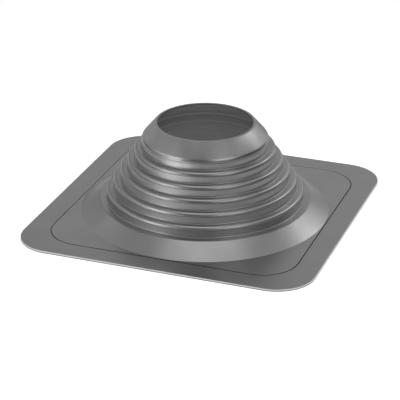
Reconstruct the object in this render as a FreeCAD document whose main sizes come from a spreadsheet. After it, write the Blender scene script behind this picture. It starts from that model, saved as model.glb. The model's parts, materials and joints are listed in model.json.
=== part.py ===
import FreeCAD, Part
import math
import os
import Sketcher

# Pipe flashing boot: a one-piece moulded rubber boot (stepped cone, skirt and square flange) with a flat
# malleable aluminium frame bonded into a rebate round the top of its flange.
# Origin: centre of the underside. +Z: up the pipe. All sizes in millimetres.

SIZES = {
    "base_side": 254.0,       # outside of the square base
    "base_corner": 33.0,      # radius of the base's four corners
    "base_thick": 1.8,        # flange and frame together
    "frame_thick": 0.9,       # aluminium frame, flush with the top of the flange
    "frame_width": 19.4,      # from the outside of the base to the frame's window
    "window_corner": 31.0,    # radius of the window's corners
    "joint_gap": 0.7,         # groove between the window and the raised part of the flange
    "edge_round": 0.3,        # broken top edges of the frame
    "boot_height": 80.0,      # underside to the top of the lip
    "opening_bore": 81.2,     # diameter of the lip's sealing land
    "lip_width": 2.1,         # flat top of the lip
    "lip_land": 1.2,          # height of the sealing land
    "lip_round": 0.4,         # outer edge of the lip
    "collar_wall": 8.3,       # smallest ring's wall, from the highest tread to the collar's slope
    "collar_round": 5.6,      # soft edge under the collar
    "ring_radius": 53.85,     # wall of the smallest ring
    "ring_out": 6.05,         # each ring is this much further out than the one above
    "ring_down": 9.3,         # height of each ring
    "ring_top": 58.9,         # level of the highest tread
    "ring_round": 2.7,        # top edge of each ring
    "ring_foot": 0.8,         # inside corner at the foot of each ring
    "ledge_round": 3.0,       # edge where the lowest tread turns into the skirt
    "skirt_margin": 0.7,      # from the skirt's foot to the edge of the raised flange, mid-side
    "wall_thick": 1.5,        # boot wall, the same all the way up
}
RING_COUNT = 6                # walls, from the collar down to the skirt
OVERCUT = 1.0                 # how far a cutting profile runs past the faces it opens
MATCH = 1e-4                  # an edge this near to its expected radius and level is the one meant

doc = FreeCAD.newDocument("pipe_flashing_boot")
sheet = doc.addObject("Spreadsheet::Sheet", "Sizes")
for row, (name, size) in enumerate(SIZES.items(), start=1):
    sheet.set(f"A{row}", name)
    sheet.set(f"B{row}", str(size))
    sheet.setAlias(f"B{row}", name)
doc.recompute()


# ---- expressions on the sheet: every profile point and feature size is one of these
def cell(name):
    return f"Sizes.{name}"


def value(expression):
    """Number that an expression on the sheet gives now, in millimetres."""
    result = sheet.evalExpression(expression.replace("Sizes.", ""))
    return float(getattr(result, "Value", result))


def ring_wall(ring):
    """Outer radius of a ring's wall; ring 0 is the smallest."""
    return f"({cell('ring_radius')} + {ring} * {cell('ring_out')})"


def tread_level(ring):
    """Level of the tread at the top of a ring's wall; ring 1 has the highest."""
    return f"({cell('ring_top')} - {ring - 1} * {cell('ring_down')})"


WALL = cell("wall_thick")
WINDOW_HALF = f"({cell('base_side')} / 2 - {cell('frame_width')})"
RAISED_HALF = f"({WINDOW_HALF} - {cell('joint_gap')})"
SKIRT_RADIUS = f"({RAISED_HALF} - {cell('skirt_margin')})"
LEDGE_RADIUS = ring_wall(RING_COUNT)
LEDGE_LEVEL = tread_level(RING_COUNT)
COLLAR_FOOT = f"({cell('ring_top')} + {cell('collar_wall')})"
LIP_OUTSIDE = f"({cell('opening_bore')} / 2 + {cell('lip_width')})"
COLLAR_ANGLE = (f"atan(({cell('boot_height')} - {COLLAR_FOOT})"
                f" / ({cell('ring_radius')} - {LIP_OUTSIDE}))")
SKIRT_ANGLE = (f"atan(({LEDGE_LEVEL} - {cell('base_thick')})"
               f" / ({SKIRT_RADIUS} - {LEDGE_RADIUS}))")


def collar_inside(level):
    """Radius of the collar's inner face at a level."""
    return (f"({LIP_OUTSIDE} + ({cell('boot_height')} - {level}) / tan({COLLAR_ANGLE})"
            f" - {WALL} / sin({COLLAR_ANGLE}))")


def skirt_inside(level):
    """Radius of the skirt's inner face at a level."""
    return (f"({LEDGE_RADIUS} + ({LEDGE_LEVEL} - {level}) / tan({SKIRT_ANGLE})"
            f" - {WALL} / sin({SKIRT_ANGLE}))")


def inside_ring(ring, level):
    """Corner of the hollow that belongs to the outside corner at a ring's wall and a level."""
    return f"({ring_wall(ring)} - {WALL})", f"({level} - {WALL})"


# ---- sketches
def plane(body, role):
    for feature in body.Origin.OriginFeatures:
        if feature.Role == role:
            return feature
    raise RuntimeError(f"no {role} in {body.Name}")


def new_sketch(body, name, role):
    sketch = body.newObject("Sketcher::SketchObject", name)
    sketch.AttachmentSupport = (plane(body, role), "")
    sketch.MapMode = "FlatFace"
    return sketch


def constrain(sketch, name, constraint, expression):
    index = sketch.addConstraint(constraint)
    sketch.renameConstraint(index, name)
    sketch.setExpression(f"Constraints.{name}", expression)


def draw_profile(sketch, points):
    """Closed outline through points, each a pair of expressions: distance from the axis and level."""
    places = [FreeCAD.Vector(value(radius), value(level), 0) for radius, level in points]
    for index, place in enumerate(places):
        following = places[(index + 1) % len(places)]
        sketch.addGeometry(Part.LineSegment(place, following), False)
    for index in range(len(points)):
        following = (index + 1) % len(points)
        sketch.addConstraint(Sketcher.Constraint("Coincident", index, 2, following, 1))
    for index, (radius, level) in enumerate(points):
        across, up = places[index].x, places[index].y
        if radius == "0":
            sketch.addConstraint(Sketcher.Constraint("PointOnObject", index, 1, -2))
        else:
            constrain(sketch, f"radius_{index}",
                      Sketcher.Constraint("DistanceX", -1, 1, index, 1, across), radius)
        if level == "0":
            sketch.addConstraint(Sketcher.Constraint("PointOnObject", index, 1, -1))
        else:
            constrain(sketch, f"level_{index}",
                      Sketcher.Constraint("DistanceY", -1, 1, index, 1, up), level)


def draw_rounded_square(sketch, label, half_side, corner):
    """Centred square with rounded corners; half_side and corner are expressions."""
    half, radius = value(half_side), value(corner)
    reach = half - radius
    first = sketch.GeometryCount
    quarter = math.pi / 2
    corners = [(1, -1, 3 * quarter), (1, 1, 0), (-1, 1, quarter), (-1, -1, 2 * quarter)]
    sides = [((-reach, -half), (reach, -half)), ((half, -reach), (half, reach)),
             ((reach, half), (-reach, half)), ((-half, reach), (-half, -reach))]
    for (start, end), (right, top, turn) in zip(sides, corners):
        sketch.addGeometry(Part.LineSegment(FreeCAD.Vector(*start, 0), FreeCAD.Vector(*end, 0)), False)
        circle = Part.Circle(FreeCAD.Vector(right * reach, top * reach, 0), FreeCAD.Vector(0, 0, 1), radius)
        sketch.addGeometry(Part.ArcOfCircle(circle, turn, turn + quarter), False)
    for step in range(8):
        following = first + (step + 1) % 8
        sketch.addConstraint(Sketcher.Constraint("Tangent", first + step, 2, following, 1))
    bottom, right_side, top_side, left_side = first, first + 2, first + 4, first + 6
    for side in (bottom, top_side):
        sketch.addConstraint(Sketcher.Constraint("Horizontal", side))
    for side in (right_side, left_side):
        sketch.addConstraint(Sketcher.Constraint("Vertical", side))
    for arc in (first + 3, first + 5, first + 7):
        sketch.addConstraint(Sketcher.Constraint("Equal", first + 1, arc))
    constrain(sketch, f"{label}_corner", Sketcher.Constraint("Radius", first + 1, radius), corner)
    places = {"right": ("DistanceX", -1, 1, right_side, 1), "left": ("DistanceX", left_side, 1, -1, 1),
              "back": ("DistanceY", -1, 1, top_side, 1), "front": ("DistanceY", bottom, 1, -1, 1)}
    for place, arguments in places.items():
        constrain(sketch, f"{label}_{place}", Sketcher.Constraint(*arguments, half), half_side)


# ---- features
def pad(body, name, sketch, thickness):
    feature = body.newObject("PartDesign::Pad", name)
    feature.Profile = sketch
    feature.setExpression("Length", thickness)
    doc.recompute()
    return feature


def pocket_down(body, name, sketch, depth, level):
    """Pocket from a level downwards; its sketch lies on the body's XY plane."""
    sketch.setExpression(".AttachmentOffset.Base.z", level)
    feature = body.newObject("PartDesign::Pocket", name)
    feature.Profile = sketch
    feature.setExpression("Length", depth)
    doc.recompute()
    return feature


def turn_profile(body, kind, name, sketch):
    """Revolution or Groove of a whole turn about the sketch's vertical axis."""
    feature = body.newObject(f"PartDesign::{kind}", name)
    feature.Profile = sketch
    feature.ReferenceAxis = (sketch, ["V_Axis"])
    feature.Angle = 360
    doc.recompute()
    return feature


def circle_edges(feature, rings):
    """Names of the circular edges with a radius and level in rings, a list of pairs of expressions."""
    wanted = [(value(radius), value(level)) for radius, level in rings]
    names = []
    for index, edge in enumerate(feature.Shape.Edges, start=1):
        if not isinstance(edge.Curve, Part.Circle):
            continue
        for radius, level in wanted:
            if abs(edge.Curve.Radius - radius) < MATCH and abs(edge.Curve.Center.z - level) < MATCH:
                names.append(f"Edge{index}")
    if len(names) < len(wanted):
        raise RuntimeError(f"{feature.Name}: {len(names)} of {len(wanted)} edges found")
    return names


def level_edges(feature, level):
    """Names of the edges that lie flat at a level."""
    names = []
    for index, edge in enumerate(feature.Shape.Edges, start=1):
        box = edge.BoundBox
        if abs(box.ZMin - value(level)) < MATCH and abs(box.ZMax - value(level)) < MATCH:
            names.append(f"Edge{index}")
    return names


def fillet(body, name, base, edges, radius):
    feature = body.newObject("PartDesign::Fillet", name)
    feature.Base = (base, edges)
    feature.setExpression("Radius", radius)
    doc.recompute()
    return feature


# ---- sub-parts
def make_boot():
    """Moulded rubber boot: flange, skirt, stepped cone, collar and lip in one piece."""
    body = doc.addObject("PartDesign::Body", "rubber_boot")
    body.Label = "rubber_boot"

    outline = new_sketch(body, "flange_outline", "XY_Plane")
    draw_rounded_square(outline, "flange", f"{cell('base_side')} / 2", cell("base_corner"))
    pad(body, "flange", outline, cell("base_thick"))

    # rebate round the top of the flange that takes the frame
    rebate = new_sketch(body, "rebate_outline", "XY_Plane")
    draw_rounded_square(rebate, "outside", f"{cell('base_side')} / 2 + {OVERCUT}",
                        f"{cell('base_corner')} + {OVERCUT}")
    draw_rounded_square(rebate, "raised", RAISED_HALF, f"{cell('window_corner')} - {cell('joint_gap')}")
    pocket_down(body, "rebate", rebate, cell("frame_thick"), cell("base_thick"))

    # outside of the cone, solid to the axis
    outside = new_sketch(body, "outside_profile", "XZ_Plane")
    points = [("0", "0"), (SKIRT_RADIUS, "0"), (SKIRT_RADIUS, cell("base_thick")), (LEDGE_RADIUS, LEDGE_LEVEL)]
    for ring in reversed(range(RING_COUNT)):
        points.append((ring_wall(ring), tread_level(ring + 1)))
        top = tread_level(ring) if ring > 0 else COLLAR_FOOT
        points.append((ring_wall(ring), top))
    points += [(LIP_OUTSIDE, cell("boot_height")), ("0", cell("boot_height"))]
    draw_profile(outside, points)
    cone = turn_profile(body, "Revolution", "cone", outside)

    # soft edges outside
    tops = [(ring_wall(ring), tread_level(ring)) for ring in range(1, RING_COUNT)]
    feet = [(ring_wall(ring), tread_level(ring + 1)) for ring in range(RING_COUNT)]
    rounded = fillet(body, "ring_edges", cone, circle_edges(cone, tops), cell("ring_round"))
    rounded = fillet(body, "ring_feet", rounded, circle_edges(rounded, feet), cell("ring_foot"))
    collar = circle_edges(rounded, [(ring_wall(0), COLLAR_FOOT)])
    rounded = fillet(body, "collar_edge", rounded, collar, cell("collar_round"))
    ledge = circle_edges(rounded, [(LEDGE_RADIUS, LEDGE_LEVEL)])
    rounded = fillet(body, "ledge_edge", rounded, ledge, cell("ledge_round"))
    lip = circle_edges(rounded, [(LIP_OUTSIDE, cell("boot_height"))])
    fillet(body, "lip_edge", rounded, lip, cell("lip_round"))

    # hollow: the same steps, one wall thickness further in, and the sealing land at the lip
    land_foot = f"({cell('boot_height')} - {cell('lip_land')})"
    collar_turn = f"({COLLAR_FOOT} - {WALL} * tan((90deg - {COLLAR_ANGLE}) / 2))"
    ledge_under = f"({LEDGE_LEVEL} - {WALL})"
    above, below = f"({cell('boot_height')} + {OVERCUT})", f"(0 - {OVERCUT})"
    inside_wall = inside_ring(0, tread_level(1))[0]
    inside_tops = [inside_ring(ring, tread_level(ring)) for ring in range(1, RING_COUNT)]
    inside_feet = [inside_ring(ring, tread_level(ring + 1)) for ring in range(RING_COUNT)]
    points = [("0", above), (f"{cell('opening_bore')} / 2", above), (f"{cell('opening_bore')} / 2", land_foot),
              (collar_inside(land_foot), land_foot), (inside_wall, collar_turn), inside_feet[0]]
    for top, foot in zip(inside_tops, inside_feet[1:]):
        points += [top, foot]
    points += [(skirt_inside(ledge_under), ledge_under), (skirt_inside(below), below), ("0", below)]
    inside = new_sketch(body, "inside_profile", "XZ_Plane")
    draw_profile(inside, points)
    hollow = turn_profile(body, "Groove", "hollow", inside)

    # soft edges inside, so that the wall keeps its thickness round every bend
    rounded = fillet(body, "ring_edges_inside", hollow, circle_edges(hollow, inside_tops),
                     f"{cell('ring_round')} - {WALL}")
    rounded = fillet(body, "ring_feet_inside", rounded, circle_edges(rounded, inside_feet),
                     f"{cell('ring_foot')} + {WALL}")
    collar = circle_edges(rounded, [(inside_wall, collar_turn)])
    fillet(body, "collar_edge_inside", rounded, collar, f"{cell('collar_round')} - {WALL}")
    return body


def make_frame():
    """Flat aluminium frame that is bent to the roof profile with the flange."""
    body = doc.addObject("PartDesign::Body", "flange_frame")
    body.Label = "flange_frame"
    body.setExpression(".Placement.Base.z", f"{cell('base_thick')} - {cell('frame_thick')}")
    outline = new_sketch(body, "frame_outline", "XY_Plane")
    draw_rounded_square(outline, "outside", f"{cell('base_side')} / 2", cell("base_corner"))
    draw_rounded_square(outline, "window", WINDOW_HALF, cell("window_corner"))
    plate = pad(body, "frame", outline, cell("frame_thick"))
    fillet(body, "frame_edges", plate, level_edges(plate, cell("frame_thick")), cell("edge_round"))
    return body


parts = [make_boot(), make_frame()]
doc.recompute()

# ---- nothing is written unless every feature has built
for item in doc.Objects:
    if "Invalid" in item.State or "Error" in item.State:
        raise RuntimeError(f"{item.Name} failed: {item.State}")
for part in parts:
    if part.Shape.isNull() or not part.Shape.isValid() or len(part.Shape.Solids) != 1:
        raise RuntimeError(f"{part.Label} has no valid solid")

os.makedirs("parts", exist_ok=True)
for part in parts:
    part.Shape.exportStep(f"parts/{part.Label}.step")
    box = part.Shape.BoundBox
    print(f"{part.Label}: {part.Shape.Volume:.1f} mm3, {box.XLength:.2f} x {box.YLength:.2f} x {box.ZLength:.2f}")
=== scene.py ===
import json
import math

import bpy
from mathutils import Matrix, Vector


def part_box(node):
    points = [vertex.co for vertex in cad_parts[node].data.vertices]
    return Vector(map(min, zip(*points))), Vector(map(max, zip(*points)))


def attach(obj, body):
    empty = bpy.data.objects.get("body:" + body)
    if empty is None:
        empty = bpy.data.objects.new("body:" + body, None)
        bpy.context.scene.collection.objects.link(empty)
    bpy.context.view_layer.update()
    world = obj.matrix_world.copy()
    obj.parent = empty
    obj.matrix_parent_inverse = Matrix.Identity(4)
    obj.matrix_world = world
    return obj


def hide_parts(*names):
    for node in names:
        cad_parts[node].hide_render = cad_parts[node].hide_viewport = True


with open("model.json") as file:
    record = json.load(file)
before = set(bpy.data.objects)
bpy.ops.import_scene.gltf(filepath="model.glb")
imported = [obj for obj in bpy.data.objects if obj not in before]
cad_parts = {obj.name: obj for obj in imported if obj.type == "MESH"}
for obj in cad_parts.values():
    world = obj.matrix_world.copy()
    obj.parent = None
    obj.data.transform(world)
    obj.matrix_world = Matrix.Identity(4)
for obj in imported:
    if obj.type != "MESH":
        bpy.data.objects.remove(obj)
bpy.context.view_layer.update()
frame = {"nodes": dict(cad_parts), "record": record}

# ---------------------------------------------------------------- sizes, in metres
MM = 0.001
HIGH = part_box("rubber_boot")[1]
FRAME_LOW, FRAME_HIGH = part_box("flange_frame")
MOUNTS = {mount["name"]: mount for mount in frame["record"]["mounts"]}

BASE_HALF = HIGH.x
BOOT_TOP = HIGH.z
BASE_TOP = FRAME_HIGH.z
REBATE_FLOOR = FRAME_LOW.z
OPENING_RADIUS = MOUNTS["pipe_opening"]["dims"]["r_mm"] * MM
LAND_HEIGHT = MOUNTS["pipe_opening"]["dims"]["length_mm"] * MM

BASE_CORNER = 33.0 * MM
RAISED_HALF = BASE_HALF - 20.1 * MM
RAISED_CORNER = 30.3 * MM
WALL = 1.5 * MM
LIP_WIDTH = 2.1 * MM
LIP_ROUND = 0.4 * MM
COLLAR_FOOT = 67.2 * MM
COLLAR_ROUND = 5.6 * MM
RING_RADIUS = 53.85 * MM
RING_OUT = 6.05 * MM
RING_DOWN = 9.3 * MM
RING_TOP = 58.9 * MM
RING_ROUND = 2.7 * MM
RING_FOOT = 0.8 * MM
RING_COUNT = 6
LEDGE_ROUND = 3.0 * MM
SKIRT_RADIUS = 106.2 * MM
GROOVE_WIDTH = 0.45 * MM
GROOVE_DEPTH = 0.5 * MM

CORNER_STEPS = 24
SIDE_STEPS = 40
TURN_STEPS = 4 * (CORNER_STEPS + SIDE_STEPS)
ARC_STEPS = 6
NEAR = 0.01 * MM            # two levels or sizes this close are the same
MERGE = 0.002 * MM          # vertices this close become one
LET_DOWN = 20 * MM          # how far an outer loop is lowered while it is bridged
CORNER_SAG = 16 * MM        # no vertex of a rounded square lies further in than this, at its corners
EDGE_HIGHLIGHT_DEPTH = 0.2 * MM         # depth over which the base's outer edge gets a painted highlight, a light grey
SHARP_ANGLE = 28            # degrees; edges that turn more than this stay sharp

SHEEN = 0.85                # metallic share of both finishes
LAMP_DISTANCE = 2.0
MIDDLE = 0.03               # height at which the lamps are aimed
CARD_HEIGHT = 2 * MM
TABLE_SIZE = 0.8
TABLE_GLOW = 0.22
TABLE_GLOW_SEEN = 0.55      # for camera rays alone

SENSOR = 36.0               # camera, in millimetres and degrees
LENS = 158.24
CAMERA_PLACE = (0.4642, -1.2855, 0.6500)
CAMERA_DOWN = 25.19
CAMERA_TURN = 20.04


# ---------------------------------------------------------------- modelling by hand tools
def deselect_all():
    if bpy.context.mode != "OBJECT":
        bpy.ops.object.mode_set(mode="OBJECT")
    bpy.ops.object.select_all(action="DESELECT")


def edit(piece, mode="VERT"):
    """Into edit mode on one piece, with nothing selected."""
    deselect_all()
    bpy.context.view_layer.objects.active = piece
    piece.select_set(True)
    bpy.ops.object.mode_set(mode="EDIT")
    bpy.ops.mesh.select_mode(type=mode)
    bpy.ops.mesh.select_all(action="DESELECT")


def pick_edges(piece, wanted):
    """Selects the edges whose two ends both pass the test, and nothing else."""
    bpy.ops.mesh.select_all(action="DESELECT")
    bpy.ops.object.mode_set(mode="OBJECT")
    mesh = piece.data
    for edge in mesh.edges:
        edge.select = all(wanted(mesh.vertices[end].co) for end in edge.vertices)
    bpy.ops.object.mode_set(mode="EDIT")


def trace_section(name, section):
    """Open outline in the XZ plane: a vertex drawn out from corner to corner and swung round each radius."""
    deselect_all()
    bpy.ops.mesh.primitive_plane_add(size=MM)
    piece = bpy.context.object
    piece.name = name
    edit(piece)
    bpy.ops.mesh.select_all(action="SELECT")
    bpy.ops.mesh.merge(type="CENTER")
    corners = [Vector(corner) for corner, _ in section]
    here = corners[0]
    bpy.ops.transform.translate(value=(here.x, 0, here.y))
    for index in range(1, len(section)):
        corner, radius = corners[index], section[index][1]
        into = (corner - corners[index - 1]).normalized()
        turn = 0.0
        if radius:
            out = (corners[index + 1] - corner).normalized()
            turn = math.atan2(into.x * out.y - into.y * out.x, into.dot(out))
        tangent = corner - into * radius * math.tan(abs(turn) / 2)
        step = tangent - here
        bpy.ops.mesh.extrude_region_move(TRANSFORM_OT_translate={"value": (step.x, 0, step.y)})
        here = tangent
        if radius:
            middle = tangent + Vector((-into.y, into.x)) * math.copysign(radius, turn)
            bpy.ops.mesh.spin(steps=ARC_STEPS, angle=turn, center=(middle.x, 0, middle.y), axis=(0, 1, 0))
            here = corner + out * radius * math.tan(abs(turn) / 2)
    return piece


def turn_about_axis(piece):
    bpy.ops.mesh.select_all(action="SELECT")
    bpy.ops.mesh.spin(steps=TURN_STEPS, angle=math.tau, center=(0, 0, 0), axis=(0, 0, 1))
    bpy.ops.mesh.select_all(action="SELECT")
    bpy.ops.mesh.remove_doubles(threshold=MERGE)


def rounded_square_loop(name, half, corner, level):
    """Closed outline of a square with rounded corners, with even steps along its sides."""
    deselect_all()
    bpy.ops.mesh.primitive_plane_add(size=2 * half, location=(0, 0, level))
    bpy.ops.object.transform_apply(location=True, rotation=False, scale=False)
    piece = bpy.context.object
    piece.name = name
    edit(piece)
    bpy.ops.mesh.select_all(action="SELECT")
    bpy.ops.mesh.bevel(offset=corner, offset_type="OFFSET", segments=CORNER_STEPS, profile=0.5,
                       affect="VERTICES")
    bpy.ops.mesh.select_all(action="SELECT")
    bpy.ops.mesh.delete(type="ONLY_FACE")
    bpy.ops.mesh.select_mode(type="EDGE")
    straight = half - corner + NEAR
    for across in (0, 1):
        pick_edges(piece, lambda co: abs(co[across]) < straight and abs(co[1 - across]) > half - NEAR)
        bpy.ops.mesh.subdivide(number_cuts=SIDE_STEPS - 1)
    return piece


def circle(radius, level):
    """Test for the vertices of a circle about the axis."""
    return lambda co: abs(co.z - level) < NEAR and abs(co.xy.length - radius) < NEAR


def square(half, level):
    """Test for the vertices of a rounded square about the axis."""
    def on_square(co):
        side = max(abs(co.x), abs(co.y))
        at_level = abs(co.z - level) < NEAR
        return at_level and co.xy.length > half - NEAR and half - CORNER_SAG < side < half + NEAR
    return on_square


def bridge_in_plane(piece, inner, inner_size, outer, outer_size, level):
    """Joins two loops of one level. The outer one is let down meanwhile, so that no faces cross."""
    lowered = level - LET_DOWN
    pick_edges(piece, outer(outer_size, level))
    bpy.ops.transform.translate(value=(0, 0, -LET_DOWN))
    upper, lower = inner(inner_size, level), outer(outer_size, lowered)
    pick_edges(piece, lambda co: upper(co) or lower(co))
    bpy.ops.mesh.bridge_edge_loops()
    pick_edges(piece, lower)
    bpy.ops.transform.translate(value=(0, 0, LET_DOWN))


def trim_groove(radius, top):
    """Corners of a narrow square groove cut into an upright wall, from its lower edge up to top."""
    foot, floor = top - GROOVE_WIDTH, radius - GROOVE_DEPTH
    return [((radius, foot), 0), ((floor, foot), 0), ((floor, top), 0), ((radius, top), 0)]


def boot_section():
    """Corners of the boot's wall and their rounds, from the skirt's foot over the lip and down inside."""
    ledge = (RING_RADIUS + RING_COUNT * RING_OUT, RING_TOP - (RING_COUNT - 1) * RING_DOWN)
    skirt_angle = math.atan2(ledge[1] - BASE_TOP, SKIRT_RADIUS - ledge[0])
    lip_outside = OPENING_RADIUS + LIP_WIDTH
    collar_angle = math.atan2(BOOT_TOP - COLLAR_FOOT, RING_RADIUS - lip_outside)
    land_foot = BOOT_TOP - LAND_HEIGHT

    outside = [((SKIRT_RADIUS, BASE_TOP), 0), (ledge, LEDGE_ROUND)]
    for ring in reversed(range(RING_COUNT)):
        radius = RING_RADIUS + ring * RING_OUT
        outside.append(((radius, RING_TOP - ring * RING_DOWN), RING_FOOT))
        if ring:
            outside += trim_groove(radius, RING_TOP - (ring - 1) * RING_DOWN - RING_ROUND)
            outside.append(((radius, RING_TOP - (ring - 1) * RING_DOWN), RING_ROUND))
    shoulder = COLLAR_FOOT - COLLAR_ROUND * math.tan((math.pi / 2 - collar_angle) / 2)
    outside += trim_groove(RING_RADIUS, shoulder)
    outside += [((RING_RADIUS, COLLAR_FOOT), COLLAR_ROUND), ((lip_outside, BOOT_TOP), LIP_ROUND)]

    slope_back = LAND_HEIGHT / math.tan(collar_angle) - WALL / math.sin(collar_angle)
    collar_turn = COLLAR_FOOT - WALL * math.tan((math.pi / 2 - collar_angle) / 2)
    inside = [((OPENING_RADIUS, BOOT_TOP), 0), ((OPENING_RADIUS, land_foot), 0),
              ((lip_outside + slope_back, land_foot), 0),
              ((RING_RADIUS - WALL, collar_turn), COLLAR_ROUND - WALL)]
    for ring in range(RING_COUNT):
        radius = RING_RADIUS + ring * RING_OUT - WALL
        if ring:
            inside.append(((radius, RING_TOP - (ring - 1) * RING_DOWN - WALL), RING_ROUND - WALL))
        inside.append(((radius, RING_TOP - ring * RING_DOWN - WALL), RING_FOOT + WALL))
    under = ledge[1] - WALL
    set_back = WALL / math.sin(skirt_angle)
    inside += [((ledge[0] + WALL / math.tan(skirt_angle) - set_back, under), 0),
               ((ledge[0] + ledge[1] / math.tan(skirt_angle) - set_back, 0), 0)]
    return outside + inside


# ---------------------------------------------------------------- the boot
def model_boot():
    section = boot_section()
    boot = trace_section("boot", section)
    turn_about_axis(boot)

    raised = rounded_square_loop("raised_edge", RAISED_HALF, RAISED_CORNER, BASE_TOP)
    edit(raised)
    bpy.ops.mesh.select_all(action="SELECT")
    bpy.ops.mesh.extrude_region_move(TRANSFORM_OT_translate={"value": (0, 0, REBATE_FLOOR - BASE_TOP)})
    outer = rounded_square_loop("outer_edge", BASE_HALF, BASE_CORNER, REBATE_FLOOR)
    edit(outer)
    bpy.ops.mesh.select_all(action="SELECT")
    bpy.ops.mesh.extrude_region_move(TRANSFORM_OT_translate={"value": (0, 0, -REBATE_FLOOR)})

    deselect_all()
    for piece in (raised, outer, boot):
        piece.select_set(True)
    bpy.context.view_layer.objects.active = boot
    bpy.ops.object.join()
    edit(boot, "EDGE")

    bridge_in_plane(boot, circle, SKIRT_RADIUS, square, RAISED_HALF, BASE_TOP)
    bridge_in_plane(boot, square, RAISED_HALF, square, BASE_HALF, REBATE_FLOOR)
    bridge_in_plane(boot, circle, section[-1][0][0], square, BASE_HALF, 0)
    bpy.ops.mesh.select_all(action="SELECT")
    bpy.ops.mesh.remove_doubles(threshold=MERGE)
    bpy.ops.mesh.normals_make_consistent(inside=False)
    deselect_all()
    boot.select_set(True)
    bpy.context.view_layer.objects.active = boot
    bpy.ops.object.shade_smooth_by_angle(angle=math.radians(SHARP_ANGLE))
    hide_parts("rubber_boot")
    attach(boot, "root")
    return boot


# ---------------------------------------------------------------- finishes
def new_finish(name):
    finish = bpy.data.materials.new(name)
    finish.use_nodes = True
    nodes, links = finish.node_tree.nodes, finish.node_tree.links
    shader = next(node for node in nodes if node.type == "BSDF_PRINCIPLED")
    return finish, nodes, links, shader


def grain(nodes, links, scale, detail, stretch=(1, 1, 1)):
    """Noise fixed to the piece itself; stretch draws it out along the axes with small numbers."""
    place = nodes.new("ShaderNodeTexCoord")
    draw_out = nodes.new("ShaderNodeMapping")
    draw_out.inputs["Scale"].default_value = stretch
    noise = nodes.new("ShaderNodeTexNoise")
    noise.inputs["Scale"].default_value = scale
    noise.inputs["Detail"].default_value = detail
    links.new(place.outputs["Object"], draw_out.inputs["Vector"])
    links.new(draw_out.outputs["Vector"], noise.inputs["Vector"])
    return noise.outputs["Fac"]


def spread(nodes, links, source, low, high):
    """Stretches the middle of a noise to run from low to high."""
    span = nodes.new("ShaderNodeMapRange")
    span.inputs["From Min"].default_value = 0.3
    span.inputs["From Max"].default_value = 0.7
    span.inputs["To Min"].default_value = low
    span.inputs["To Max"].default_value = high
    links.new(source, span.inputs["Value"])
    return span.outputs["Result"]


def tint(nodes, links, source, dark, light):
    """Colour between two greys, by a noise."""
    ramp = nodes.new("ShaderNodeValToRGB")
    ramp.color_ramp.elements[0].position = 0.3
    ramp.color_ramp.elements[0].color = dark
    ramp.color_ramp.elements[1].position = 0.7
    ramp.color_ramp.elements[1].color = light
    links.new(source, ramp.inputs["Fac"])
    return ramp.outputs["Color"]


def relief(nodes, links, shader, source, strength, depth):
    bump = nodes.new("ShaderNodeBump")
    bump.inputs["Strength"].default_value = strength
    bump.inputs["Distance"].default_value = depth
    links.new(source, bump.inputs["Height"])
    links.new(bump.outputs["Normal"], shader.inputs["Normal"])


def moulded_silicone():
    """Silver-grey pigmented silicone: satin, faintly cloudy, with the grain of a spark-eroded mould."""
    finish, nodes, links, shader = new_finish("moulded_silver_grey_silicone")
    cloud = grain(nodes, links, 26.0, 4.0)
    links.new(tint(nodes, links, cloud, (0.270, 0.270, 0.272, 1), (0.290, 0.290, 0.292, 1)),
              shader.inputs["Base Color"])
    bloom = grain(nodes, links, 70.0, 3.0)
    links.new(spread(nodes, links, bloom, 0.31, 0.37), shader.inputs["Roughness"])
    shader.inputs["Metallic"].default_value = SHEEN
    relief(nodes, links, shader, grain(nodes, links, 1300.0, 2.0), 0.10, 0.05 * MM)
    return finish


def painted_edge_highlight_mask(nodes, links):
    """1 on the upright face round the outside of the base, 0 elsewhere: the mask of a painted highlight."""
    place = nodes.new("ShaderNodeTexCoord")
    folded = nodes.new("ShaderNodeVectorMath")
    folded.operation = "ABSOLUTE"
    links.new(place.outputs["Object"], folded.inputs[0])
    past = nodes.new("ShaderNodeVectorMath")
    past.operation = "SUBTRACT"
    past.inputs[1].default_value = (BASE_HALF - BASE_CORNER, BASE_HALF - BASE_CORNER, BASE_HALF)
    links.new(folded.outputs["Vector"], past.inputs[0])
    corner = nodes.new("ShaderNodeVectorMath")
    corner.operation = "MAXIMUM"
    links.new(past.outputs["Vector"], corner.inputs[0])
    reach = nodes.new("ShaderNodeVectorMath")
    reach.operation = "LENGTH"
    links.new(corner.outputs["Vector"], reach.inputs[0])
    edge = nodes.new("ShaderNodeMath")
    edge.operation = "GREATER_THAN"
    edge.inputs[1].default_value = BASE_CORNER - EDGE_HIGHLIGHT_DEPTH
    links.new(reach.outputs["Value"], edge.inputs[0])
    return edge.outputs["Value"]


def coated_aluminium():
    """Soft aluminium under a grey coat, with the lengthwise grain of rolled sheet, and a painted highlight:
    light grey on the upright face round the outside of the base.
    """
    finish, nodes, links, shader = new_finish("coated_grey_aluminium_sheet")
    cloud = grain(nodes, links, 30.0, 4.0)
    coat = tint(nodes, links, cloud, (0.272, 0.272, 0.272, 1), (0.288, 0.288, 0.288, 1))
    # Painted highlight: the upright outside face of the base is coloured light grey, standing in for the
    # light that face catches.
    edge_highlight = nodes.new("ShaderNodeMix")
    edge_highlight.data_type = "RGBA"
    edge_highlight.inputs["B"].default_value = (0.75, 0.75, 0.76, 1)
    links.new(painted_edge_highlight_mask(nodes, links), edge_highlight.inputs["Factor"])
    links.new(coat, edge_highlight.inputs["A"])
    links.new(edge_highlight.outputs["Result"], shader.inputs["Base Color"])
    rolled = grain(nodes, links, 900.0, 3.0, stretch=(0.04, 1, 1))
    links.new(spread(nodes, links, rolled, 0.34, 0.39), shader.inputs["Roughness"])
    shader.inputs["Metallic"].default_value = SHEEN
    relief(nodes, links, shader, rolled, 0.08, 0.04 * MM)
    return finish


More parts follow.
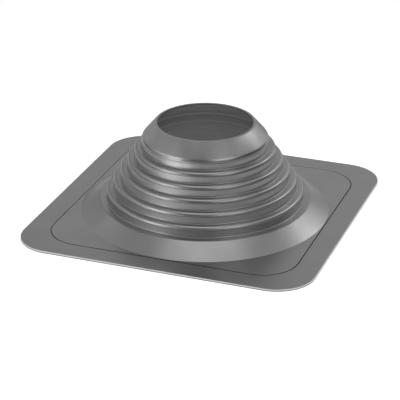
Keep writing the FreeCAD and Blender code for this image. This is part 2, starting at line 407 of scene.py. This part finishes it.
def painted_joint_shade():
    """Near-black painted shade for the open joint between the strip and the boot, where shadow falls."""
    finish, nodes, links, shader = new_finish("painted_shade_in_joint")
    shade_noise = grain(nodes, links, 220.0, 3.0)
    links.new(tint(nodes, links, shade_noise, (0.012, 0.012, 0.012, 1), (0.022, 0.022, 0.022, 1)),
              shader.inputs["Base Color"])
    links.new(spread(nodes, links, shade_noise, 0.5, 0.7), shader.inputs["Roughness"])
    return finish


def paint_joint_shade(boot, finish):
    """Puts the painted joint shade on the floor of the rebate and on the upright step beside it."""
    boot.data.materials.append(finish)
    for face in boot.data.polygons:
        side = max(abs(face.center.x), abs(face.center.y))
        over_floor = REBATE_FLOOR - NEAR < face.center.z < BASE_TOP - NEAR
        face.material_index = 1 if over_floor and side > RAISED_HALF - RAISED_CORNER and \
            face.center.xy.length > RAISED_HALF - NEAR else 0


def dress(piece, finish):
    piece.data.materials.clear()
    piece.data.materials.append(finish)


# ---------------------------------------------------------------- studio
def aim(thing, target):
    """Turns a lamp's lit side to a point."""
    direction = Vector(target) - thing.location
    thing.rotation_euler = direction.to_track_quat("-Z", "Y").to_euler()


def table_top():
    """White table under the boot. It glows a little, more for the camera, and takes the boot's shadow."""
    deselect_all()
    bpy.ops.mesh.primitive_plane_add(size=TABLE_SIZE, location=(0, 0, 0))
    table = bpy.context.object
    table.name = "table_top"
    finish, nodes, links, shader = new_finish("white_table_paper")
    fibre = grain(nodes, links, 40.0, 3.0)
    links.new(tint(nodes, links, fibre, (0.79, 0.79, 0.79, 1), (0.81, 0.81, 0.81, 1)),
              shader.inputs["Base Color"])
    shader.inputs["Roughness"].default_value = 0.9
    shader.inputs["Specular IOR Level"].default_value = 0.0
    shader.inputs["Emission Color"].default_value = (1, 1, 1, 1)
    seen = nodes.new("ShaderNodeLightPath")
    glow = nodes.new("ShaderNodeMapRange")
    glow.inputs["To Min"].default_value = TABLE_GLOW
    glow.inputs["To Max"].default_value = TABLE_GLOW_SEEN
    links.new(seen.outputs["Is Camera Ray"], glow.inputs["Value"])
    links.new(glow.outputs["Result"], shader.inputs["Emission Strength"])
    dress(table, finish)
    return table


def softbox(name, azimuth, elevation, width, height, brightness):
    """Lit rectangle turned to the boot from LAMP_DISTANCE away, of one brightness whatever its size."""
    lamp = bpy.data.lights.new(name, "AREA")
    lamp.shape = "RECTANGLE"
    lamp.size = width
    lamp.size_y = height
    lamp.energy = math.pi * width * height * brightness
    box = bpy.data.objects.new(name, lamp)
    bpy.context.scene.collection.objects.link(box)
    turn, tilt = math.radians(azimuth), math.radians(elevation)
    reach = LAMP_DISTANCE * math.cos(tilt)
    level = LAMP_DISTANCE * math.sin(tilt) + MIDDLE
    box.location = (reach * math.cos(turn), reach * math.sin(turn), level)
    aim(box, (0, 0, MIDDLE))
    box.visible_camera = False


def bounce_card(name, azimuth, near_end, far_end, width, brightness):
    """Lit card on the table beside the boot, facing up and out of the camera's sight."""
    lamp = bpy.data.lights.new(name, "AREA")
    lamp.shape = "RECTANGLE"
    lamp.size = far_end - near_end
    lamp.size_y = width
    lamp.energy = math.pi * lamp.size * width * brightness
    card = bpy.data.objects.new(name, lamp)
    bpy.context.scene.collection.objects.link(card)
    turn, reach = math.radians(azimuth), (near_end + far_end) / 2
    card.location = (reach * math.cos(turn), reach * math.sin(turn), CARD_HEIGHT)
    card.rotation_euler = (math.pi, 0, turn)
    card.visible_camera = False


def world_light(strength):
    """Room of the given brightness, and white where the camera itself sees past the table."""
    world = bpy.data.worlds.new("studio")
    bpy.context.scene.world = world
    world.use_nodes = True
    nodes, links = world.node_tree.nodes, world.node_tree.links
    room = nodes["Background"]
    room.inputs["Color"].default_value = (1, 1, 1, 1)
    room.inputs["Strength"].default_value = strength
    backdrop = nodes.new("ShaderNodeBackground")
    backdrop.inputs["Color"].default_value = (1, 1, 1, 1)
    seen = nodes.new("ShaderNodeLightPath")
    choice = nodes.new("ShaderNodeMixShader")
    links.new(seen.outputs["Is Camera Ray"], choice.inputs[0])
    links.new(room.outputs[0], choice.inputs[1])
    links.new(backdrop.outputs[0], choice.inputs[2])
    links.new(choice.outputs[0], nodes["World Output"].inputs["Surface"])


def camera():
    """Camera that looks down on the boot from its front right."""
    view = bpy.data.cameras.new("camera")
    view.sensor_width = SENSOR
    view.lens = LENS
    stand = bpy.data.objects.new("camera", view)
    bpy.context.scene.collection.objects.link(stand)
    stand.location = CAMERA_PLACE
    stand.rotation_euler = (math.radians(90 - CAMERA_DOWN), 0, math.radians(CAMERA_TURN))
    bpy.context.scene.camera = stand


def light_the_boot():
    """Panels all round, low panels behind, narrow strips in front, and two cards on the table.

    The powers were worked out by a separate fitting program and rounded; they weren't set by hand.
    """
    softbox("right_back_panel", 50, 27, 1.0, 1.0, 1.0)
    softbox("back_right_panel", 80, 27, 1.0, 1.0, 0.72)
    softbox("back_panel", 110, 27, 1.0, 1.0, 0.71)
    softbox("back_left_panel", 140, 27, 1.0, 1.0, 0.31)
    softbox("left_back_panel", 170, 27, 1.0, 1.0, 0.53)
    softbox("left_panel", 200, 20, 0.6, 0.8, 1.67)
    softbox("left_front_panel", 230, 27, 1.0, 1.0, 0.94)
    softbox("right_front_panel", 320, 27, 1.0, 1.0, 0.85)
    softbox("upper_right_panel", 20, 52, 1.3, 0.75, 0.62)
    softbox("upper_left_panel", 200, 52, 1.3, 0.75, 0.59)
    softbox("upper_front_panel", 320, 52, 1.3, 0.75, 0.74)
    softbox("overhead_panel", 110, 85, 1.5, 1.5, 1.65)
    softbox("high_front_panel_left", 240, 62, 0.6, 0.5, 0.14)
    softbox("high_front_panel_middle", 262, 62, 0.6, 0.5, 0.86)
    softbox("high_front_panel_right", 284, 62, 0.6, 0.5, 0.23)
    softbox("front_panel", 255, 46, 0.6, 0.4, 0.43)
    softbox("back_left_upper_panel", 155, 40, 0.7, 0.6, 0.54)
    softbox("back_left_lower_panel", 155, 14, 0.7, 0.4, 0.59)
    softbox("left_upper_panel", 185, 40, 0.7, 0.6, 0.29)
    softbox("left_lower_panel", 185, 14, 0.7, 0.4, 0.43)
    softbox("low_back_panel_right", 70, 3, 0.75, 0.5, 1.12)
    softbox("low_back_panel_middle", 95, 3, 0.75, 0.5, 0.72)
    softbox("low_back_panel_left", 120, 3, 0.75, 0.5, 0.84)
    softbox("low_back_panel_end", 145, 3, 0.75, 0.5, 0.64)
    softbox("low_strip_edge", 222, 3, 0.2, 0.25, 2.5)
    softbox("low_strip_left", 228, 4, 0.45, 0.28, 3.05)
    softbox("low_strip_right", 241, 4, 0.45, 0.28, 2.8)
    softbox("strip_edge", 220, 16, 0.25, 0.2, 2.9)
    softbox("strip_right", 241, 16, 0.45, 0.40, 3.0)
    softbox("strip_upper_edge", 215, 24, 0.4, 0.28, 2.2)
    softbox("strip_upper_left", 228, 24, 0.4, 0.28, 5.15)
    softbox("strip_upper_right", 241, 24, 0.4, 0.28, 3.0)
    softbox("strip_high_left", 228, 36, 0.4, 0.28, 0.45)
    softbox("strip_high_right", 241, 36, 0.4, 0.28, 2.25)
    softbox("right_front_strip_left", 312, 24, 0.35, 0.25, 4.4)
    softbox("right_front_strip_middle", 326, 24, 0.35, 0.25, 2.9)
    softbox("right_front_strip_right", 340, 24, 0.35, 0.25, 0.85)
    softbox("right_front_strip_high_left", 318, 36, 0.35, 0.25, 3.6)
    softbox("right_front_strip_high_right", 335, 36, 0.35, 0.25, 4.9)
    softbox("right_panel", 345, 30, 0.5, 0.35, 1.9)
    softbox("right_upper_strip_left", 10, 40, 0.4, 0.3, 1.4)
    softbox("right_upper_strip_right", 30, 40, 0.4, 0.3, 2.6)
    softbox("back_right_key", 50, 33, 0.5, 0.6, 3.1)
    softbox("back_fill", 65, 25, 0.5, 0.9, 0.6)
    bounce_card("bounce_card_left", 235, 0.20, 0.45, 0.12, 3.5)
    bounce_card("bounce_card_front", 255, 0.19, 0.45, 0.12, 1.75)


boot = model_boot()
dress(boot, moulded_silicone())
# Painted shade: near-black colour in the open joint round the strip.
paint_joint_shade(boot, painted_joint_shade())
dress(frame["nodes"]["flange_frame"], coated_aluminium())
table_top()
world_light(0.0)
light_the_boot()
camera()
bpy.context.scene.view_settings.view_transform = "Standard"
